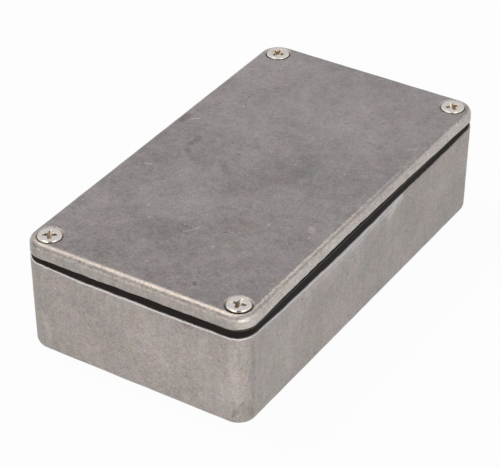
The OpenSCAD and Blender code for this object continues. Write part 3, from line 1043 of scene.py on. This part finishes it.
def lid_metal(name, plan, colours):
    """The lid's finish: its top painted darker and its side painted paler, as painted shade and
    light for how the light falls on them, with the short sides painted darker than the long
    ones; the edge of the top rubbed bright and painted with a highlight along the front and
    the left, a line of painted shade below that edge on the short sides, and rings of painted
    highlight round the screws' pockets, set off towards the rear right."""
    metal = CastMetal(name, plan, colours)
    paint, x, y, grain = metal.paint, metal.x, metal.y, metal.grain
    # The side is painted paler than the top, and darker on the short sides than on the long ones:
    # painted light and shade
    side = rgba(colours.cast_side)
    side = paint.mix(metal.on_long, rgba([0.73 * v for v in colours.cast_side]), side)
    wobble = (paint.noise(metal.place, 0.8, 6.1, 2, 0.8) - 0.5) * 1.3 * MM
    # skin takes the darker top colour over the top and the paler side colour down the side
    skin = paint.mix((metal.reach + wobble * 0.5).across(-1.05, -0.4),
                     rgba(colours.cast_lid), side)
    edge = metal.reach + wobble
    # crown, left and front mark a band on the top's rounded edge along the left and the front that
    # is rubbed bright and painted as a highlight
    crown = edge.across(-1.9, -1.6) * (1 - edge.across(-0.95, -0.5))
    left = (-x).between(plan.core_x, plan.half_x - 2 * MM) * (-y).across(31, 28)
    left = left * (0.65 - y * (0.2 / plan.half_y))
    front = (-y).between(plan.core_y, plan.half_y - 2 * MM) * (-x).across(-40, 25)
    front = front * (1 - edge.across(-1.3, -0.7))
    # ring marks a painted highlight round each screw pocket, set off towards the rear right where
    # the pocket's far wall catches the light
    ring = distance(abs(x - 0.45 * MM) - plan.screw_x, abs(y - 0.3 * MM) - plan.screw_y)
    ring = ring - plan.head_r
    ring = ring.across(-0.4, -0.2) * (1 - ring.across(0.25, 0.55))
    # Besides the rubbed wear, rubbed here carries the painted highlights of that band and of the
    # pocket rings
    rubbed = metal.rubbed() + crown * left * (1 + grain * 3) + front * crown * (0.85 + grain * 4)
    rubbed = rubbed + ring * (0.65 + grain * 3)
    # a line of painted shade on the lower part of the top's rounded edge, on the short sides
    shade_line = edge.across(-0.6, -0.45) * (1 - edge.across(-0.3, -0.1))
    tone = metal.tone() - shade_line * (1 - metal.on_long) * 0.2
    flat = paint.stretched(metal.uneven, 0, (1, 1, 0))
    base = metal.coloured(skin, tone, flat, LID_MARKS)
    return metal.finished(metal.aged(base, rubbed))


def rubber(name, plan, tint):
    """Matt black rubber with a faint mould grain, and a painted highlight line just above the
    height of its moulded top.
    """
    made, paint = material(name)
    place = paint.place()
    high = paint.parts(place)[2] - plan.lid_z
    # a painted highlight line just above the height of the gasket's moulded top
    top_edge_highlight = high.across(0.12, 0.17) * (1 - high.across(0.38, 0.43))
    grain = paint.noise(place, 0.4, 1.1, 3)
    dust = paint.noise(place, 6, 2.2, 3)
    tone = paint.mix(dust, rgba(tint), rgba([1.5 * v for v in tint]))
    # mixes in the pale colour of that painted highlight
    tone = paint.mix(top_edge_highlight * 0.8, tone, (0.085, 0.078, 0.066, 1))
    paint.principled({
        "Base Color": paint.scaled(tone, 1 + (grain - 0.5) * 0.5),
        "Roughness": 0.6 + (grain - 0.5) * 0.3, "Specular IOR Level": 0.05,
        "Normal": paint.bump(grain, 0.015)})
    return made


def plated(name, plan, plate, edge, deep):
    """Nickel: dull with faint marks on the head's face, painted brighter on its bevel as a
    highlight and painted browner down in the recess as shade."""
    made, paint = material(name)
    place = paint.place()
    x, y, z = paint.parts(place)
    from_axis = distance(abs(x) - plan.screw_x, abs(y) - plan.screw_y)
    below = z - plan.head_z
    grain = paint.noise(place, 0.35, 1.7, 3)
    # inside masks the recess, which gets the browner colour of the painted shade
    inside = 1 - below.across(-0.4, 0.15)
    inside = inside * (1 - from_axis.across(1.9, 2.0)) * below.across(-2.3, -2.2)
    # the bevel, beyond 2.8 mm from the axis, takes the brighter plating of the painted highlight
    tone = paint.mix(from_axis.across(2.8, 2.88), rgba(plate), rgba(edge))
    tone = paint.scaled(paint.mix(inside, tone, rgba(deep)), 1 + (grain - 0.5) * 0.3)
    paint.principled({
        "Base Color": tone, "Metallic": 1.0, "Roughness": 0.2 + (grain - 0.5) * 0.15,
        "Normal": paint.bump(grain, 0.006)})
    return made


def dress(piece, finish, body, slot, *nodes):
    """Gives a finished piece its material and its place in the frame."""
    piece.data.materials.clear()
    piece.data.materials.append(finish)
    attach(piece, body)
    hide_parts(*nodes)


class Step:
    """What the operators share: each makes its piece or pieces from the plan."""

    def execute(self, context):
        self.make(context.scene, Plan(context.scene))
        return {"FINISHED"}


class CastBase(Step, bpy.types.Operator):
    """Makes the base casting with its columns, board posts, card guides and tapped holes"""

    bl_idname = "die_cast_box.cast_base"
    bl_label = "Cast the base"

    def make(self, scene, plan):
        c, s = plan.cast, plan.screw
        piece = solid("base_casting", base_surface(plan))
        roughen(piece, (11, 7 * MM, c.ripple), (12, 2.2 * MM, c.ripple / 3))
        post_x = POSTS["dims"]["spacing_x_mm"] * MM / 2
        post_y = POSTS["dims"]["spacing_y_mm"] * MM / 2
        cut(piece, "UNION", [post_tool(plan, place) for place in four(post_x, post_y)])
        top, radius = POSTS["pos_m"][2], POSTS["dims"]["hole_r_mm"] * MM
        holes = [tapped_tool(place, radius, top, top - c.floor_t, 0.25 * MM, s.post_pitch)
                 for place in four(post_x, post_y)]
        core, deep = s.core_d / 2 + s.thread_gap, (s.thread_d - s.core_d) / 2
        holes += [tapped_tool(place, core, plan.rim_z, c.hole_deep, deep, s.pitch)
                  for place in four(plan.screw_x, plan.screw_y)]
        cut(piece, "DIFFERENCE", holes)
        skin = base_metal("cast_aluminium", plan, scene.finish_colours)
        dress(piece, skin, "base", "cast_aluminium", "base")


class MouldGasket(Step, bpy.types.Operator):
    """Makes the rubber gasket that lies on the base's rim"""

    bl_idname = "die_cast_box.mould_gasket"
    bl_label = "Mould the gasket"

    def make(self, scene, plan):
        piece = solid("gasket_seal", gasket_surface(plan))
        roughen(piece, (21, 9 * MM, 0.02 * MM))
        radius, margin = plan.seal.hole_d / 2, 0.5 * MM
        low, high = plan.rim_z - margin, plan.lid_z + margin
        cut(piece, "DIFFERENCE", [
            turned([0, radius, radius, 0], [low, low, high, high], place)
            for place in four(plan.screw_x, plan.screw_y)])
        settle(piece, plan, plan.rim_z)
        finish = rubber("gasket_rubber", plan, scene.finish_colours.rubber)
        dress(piece, finish, "base", "gasket_rubber", "gasket")


class CastLid(Step, bpy.types.Operator):
    """Makes the lid casting with its lip and the four screw seats"""

    bl_idname = "die_cast_box.cast_lid"
    bl_label = "Cast the lid"

    def make(self, scene, plan):
        piece = solid("lid_casting", lid_surface(plan))
        ripple = plan.cast.ripple
        roughen(piece, (31, 8 * MM, ripple), (32, 2.4 * MM, ripple / 3))
        cut(piece, "DIFFERENCE", [
            seat_tool(plan, place) for place in four(plan.screw_x, plan.screw_y)])
        settle(piece, plan)
        skin = lid_metal("cast_aluminium_lid", plan, scene.finish_colours)
        dress(piece, skin, "lid", "cast_aluminium_lid", "lid")


class TurnScrews(Step, bpy.types.Operator):
    """Makes the four countersunk screws with their threads and cross recesses"""

    bl_idname = "die_cast_box.turn_screws"
    bl_label = "Turn the screws"

    def make(self, scene, plan):
        finish = scene.finish_colours
        plate = plated("plated_steel", plan, finish.nickel, finish.nickel_edge,
                       finish.nickel_deep)
        for node, loose, turn in zip(SCREWS, plan.screw.loose, plan.screw.turns):
            corner = node.removeprefix("lid_screw_")
            low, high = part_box(node)
            place = ((low.x + high.x) / 2, (low.y + high.y) / 2)
            piece = solid(f"machine_screw_{corner}", screw_surface(plan, place, turn),
                          SCREW_SMOOTH_BELOW)
            piece.data.transform(Matrix.Translation((0, 0, loose)))
            settle(piece, plan)
            dress(piece, plate, f"screw_{corner}", "plated_steel", node)


class SetStage(Step, bpy.types.Operator):
    """Sets the floor, the lamps, the world and the camera"""

    bl_idname = "die_cast_box.set_stage"
    bl_label = "Set the stage"

    def make(self, scene, plan):
        scene.view_settings.view_transform = "Standard"
        make_floor(scene.finish_colours.floor)
        make_world(scene, scene.studio.ambient)
        for lamp in LAMPS:
            make_lamp(*lamp)
        for name, turn, shade in CARDS:
            make_card(name, plan, scene.studio, math.radians(turn), shade)
        make_camera(scene, scene.studio)


# The floor: half its width and how far it lies under the box (metres), and how much of what
# the camera sees of it is plain white
FLOOR_HALF, FLOOR_DROP, FLOOR_WHITE = 3.0, 0.06 * MM, 0.95

# Each soft lamp: its name, the direction and distance it stands in (metres), its width and
# height (metres), its power (watts) and its colour
LAMPS = (
    ("rear_softbox", (0.02, 0.50, 0.95), (0.5, 0.35), 3.4, (1.0, 0.93, 0.85)),
    ("left_softbox", (-1.1, 0.1, 0.12), (0.7, 0.2), 2.8, (1.0, 0.90, 0.80)),
    ("front_softbox", (-0.80, -0.90, 0.15), (0.7, 0.25), 6.6, (1.0, 0.95, 0.91)),
)

# Each card: its name, how far round from the camera it stands (degrees) and its shade. All
# have the same half width, half height and distance (metres), and strength
CARDS = (("black_card", 0, (0.07, 0.07, 0.07)), ("left_card", -42, (1.0, 0.96, 0.86)),
         ("right_card", 42, (1.0, 0.96, 0.86)))
CARD_SIZE, CARD_FAR, CARD_STRENGTH = (0.13, 0.065), 0.35, 1.8


def shown_rays(paint):
    """1 for rays that show the background: seen, mirrored or through glass."""
    light = paint.node("LightPath", {}, {}, "Is Camera Ray").socket.node
    seen, mirrored, through = (Term(paint, light.outputs[name]) for name in (
        "Is Camera Ray", "Is Glossy Ray", "Is Transmission Ray"))
    return paint.math("MAXIMUM", paint.math("MAXIMUM", seen, mirrored), through)


def sheet(name, wide, high, finish):
    """A flat piece that reaches wide and high to either side of its middle."""
    mesh = bpy.data.meshes.new(name)
    mesh.from_pydata([(-wide, -high, 0), (wide, -high, 0), (wide, high, 0), (-wide, high, 0)],
                     [], [(0, 1, 2, 3)])
    mesh.materials.append(finish)
    return placed(name, mesh)


def make_floor(tint):
    """A wide pale floor that looks white away from the box and keeps its soft shadow."""
    made, paint = material("studio_floor")
    matt = paint.node("BsdfDiffuse", {}, {"Color": rgba(tint)})
    white = paint.node("Emission", {}, {"Color": (1, 1, 1, 1), "Strength": 1.0})
    paint.finish(paint.node("MixShader", {},
                            {0: shown_rays(paint) * FLOOR_WHITE, 1: matt, 2: white}))
    floor = sheet("floor", FLOOR_HALF, FLOOR_HALF, made)
    floor.location.z = -FLOOR_DROP


def toward(azimuth, elevation):
    """The direction from the box towards a place at this azimuth and elevation."""
    flat = math.cos(elevation)
    return Vector((math.sin(azimuth) * flat, -math.cos(azimuth) * flat, math.sin(elevation)))


def make_card(name, plan, studio, turn, shade):
    """A card out on the camera's side, which only mirrored rays see. The screws' bevels show
    the dark one, straight out, between the two pale ones beside it."""
    made, paint = material(name)
    paint.finish(paint.node("Emission", {},
                            {"Color": rgba(shade), "Strength": CARD_STRENGTH}))
    card = sheet(name, *CARD_SIZE, made)
    way = toward(studio.azimuth + turn, 2 * plan.screw.bevel_turn - studio.elevation)
    card.location = Vector((-plan.screw_x, -plan.screw_y, plan.head_z)) + way * CARD_FAR
    card.rotation_euler = way.to_track_quat("Z", "Y").to_euler()
    for seen_by in ("camera", "diffuse", "transmission", "shadow"):
        setattr(card, f"visible_{seen_by}", False)


def make_world(scene, ambient):
    """White where the background shows, and a softer light on matt surfaces."""
    scene.world = bpy.data.worlds.new("studio_world")
    paint = Paint(scene.world)
    matt = paint.node("Background", {}, {"Color": (1, 1, 1, 1), "Strength": ambient})
    white = paint.node("Background", {}, {"Color": (1, 1, 1, 1), "Strength": 1.0})
    shader = paint.node("MixShader", {}, {0: shown_rays(paint), 1: matt, 2: white})
    paint.finish(shader, "OutputWorld")


def make_lamp(name, place, size, power, tint):
    """A rectangular softbox that faces the box."""
    lamp = bpy.data.lights.new(name, "AREA")
    lamp.shape, lamp.size, lamp.size_y = "RECTANGLE", *size
    lamp.energy, lamp.color = power, tint
    holder = placed(name, lamp)
    holder.location = place
    holder.rotation_euler = (-Vector(place)).to_track_quat("-Z", "Y").to_euler()


def make_camera(scene, studio):
    """The camera stands where the photograph of 500 by 468 pixels was taken from."""
    lens = bpy.data.cameras.new("camera")
    lens.lens, lens.sensor_width = studio.lens, 36.0
    camera = placed("camera", lens)
    back = toward(studio.azimuth, studio.elevation)
    right = Vector((math.cos(studio.azimuth), math.sin(studio.azimuth), 0))
    up = back.cross(right)
    level = Matrix((right, up, back)).transposed()
    camera.rotation_euler = (level @ Matrix.Rotation(studio.roll, 3, "Z")).to_euler()
    camera.location = Vector(studio.target) + back * studio.distance
    lens.clip_start, lens.clip_end = 0.05, 20.0
    scene.camera = camera


OPERATORS = (CastBase, MouldGasket, CastLid, TurnScrews, SetStage)
GROUPS = {
    "casting_sizes": CastingSizes,
    "gasket_sizes": GasketSizes,
    "screw_sizes": ScrewSizes,
    "finish_colours": FinishColours,
    "studio": Studio,
}


class BoxPanel(bpy.types.Panel):
    """Lists the sizes, the colours and the steps"""

    bl_idname = "VIEW3D_PT_die_cast_box"
    bl_label = "Die cast box"
    bl_space_type = "VIEW_3D"
    bl_region_type = "UI"
    bl_category = "Die cast box"

    def draw(self, context):
        for name, group in GROUPS.items():
            box = self.layout.box()
            box.label(text=group.__doc__)
            for item in group.__annotations__:
                box.prop(getattr(context.scene, name), item)
        for operator in OPERATORS:
            self.layout.operator(operator.bl_idname)


def register():
    for made in (*GROUPS.values(), *OPERATORS, BoxPanel):
        bpy.utils.register_class(made)
    for name, group in GROUPS.items():
        setattr(bpy.types.Scene, name, bpy.props.PointerProperty(type=group))


def unregister():
    for name in GROUPS:
        delattr(bpy.types.Scene, name)
    for made in (BoxPanel, *reversed(OPERATORS), *reversed(GROUPS.values())):
        bpy.utils.unregister_class(made)


def main():
    register()
    bpy.ops.die_cast_box.cast_base()
    bpy.ops.die_cast_box.mould_gasket()
    bpy.ops.die_cast_box.cast_lid()
    bpy.ops.die_cast_box.turn_screws()
    bpy.ops.die_cast_box.set_stage()


if __name__ == "__main__":
    main()
